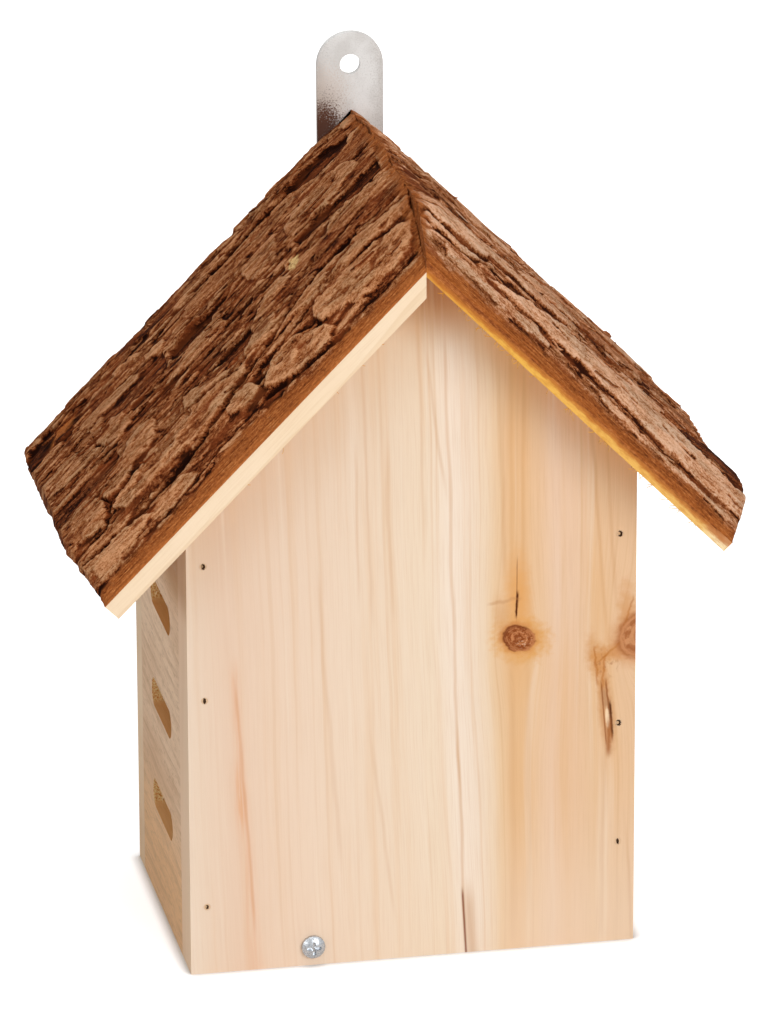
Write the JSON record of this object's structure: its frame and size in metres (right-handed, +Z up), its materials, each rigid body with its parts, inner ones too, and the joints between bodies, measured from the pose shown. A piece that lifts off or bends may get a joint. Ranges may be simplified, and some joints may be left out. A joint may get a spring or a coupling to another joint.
{
  "type": "ladybird house",
  "caption": "Pine box with slotted side walls, bark-faced gable roof, swing-open floor and a steel hanging plate, a winter shelter for ladybirds.",
  "frame": {"origin": "middle of the floor board's underside, on the ground, in the middle of the box's width and depth", "axes": "+Z up, -Y towards the front of the house, +X to the right as the front is seen"},
  "size_m": [0.2014, 0.1184, 0.2592],
  "materials": {
    "pine_front": "raw planed pine, knotty",
    "pine_back": "raw planed pine",
    "pine_walls": "raw sawn pine",
    "pine_floor": "raw planed pine",
    "pine_roof": "raw sawn pine slab",
    "bark": "natural furrowed bark",
    "galvanised_steel": "satin galvanised",
    "zinc_screws": "bright zinc plated",
    "dark_nails": "dull, slightly rusted",
    "wood_wool": "curly shavings"
  },
  "bodies": {
    "house": {"front_panel": "pine_front", "back_panel": "pine_back", "left_wall": "pine_walls", "right_wall": "pine_walls", "left_roof_board": "pine_roof", "right_roof_board": "pine_roof", "left_roof_bark": "bark", "right_roof_bark": "bark", "hanger_plate": "galvanised_steel", "hanger_screws": "zinc_screws", "front_nails": "dark_nails", "back_nails": "dark_nails", "left_roof_nails": "dark_nails", "right_roof_nails": "dark_nails", "wood_wool": "wood_wool"},
    "floor": {"floor_board": "pine_floor", "front_pivot_screw": "zinc_screws", "back_pivot_screw": "zinc_screws"}
  },
  "joints": [
    {"name": "floor_swing", "type": "hinge", "parent": "house", "child": "floor", "pos_m": [-0.0303, 0, 0.006], "axis": [0, 1, 0], "range_deg": [0, 90]}
  ]
}
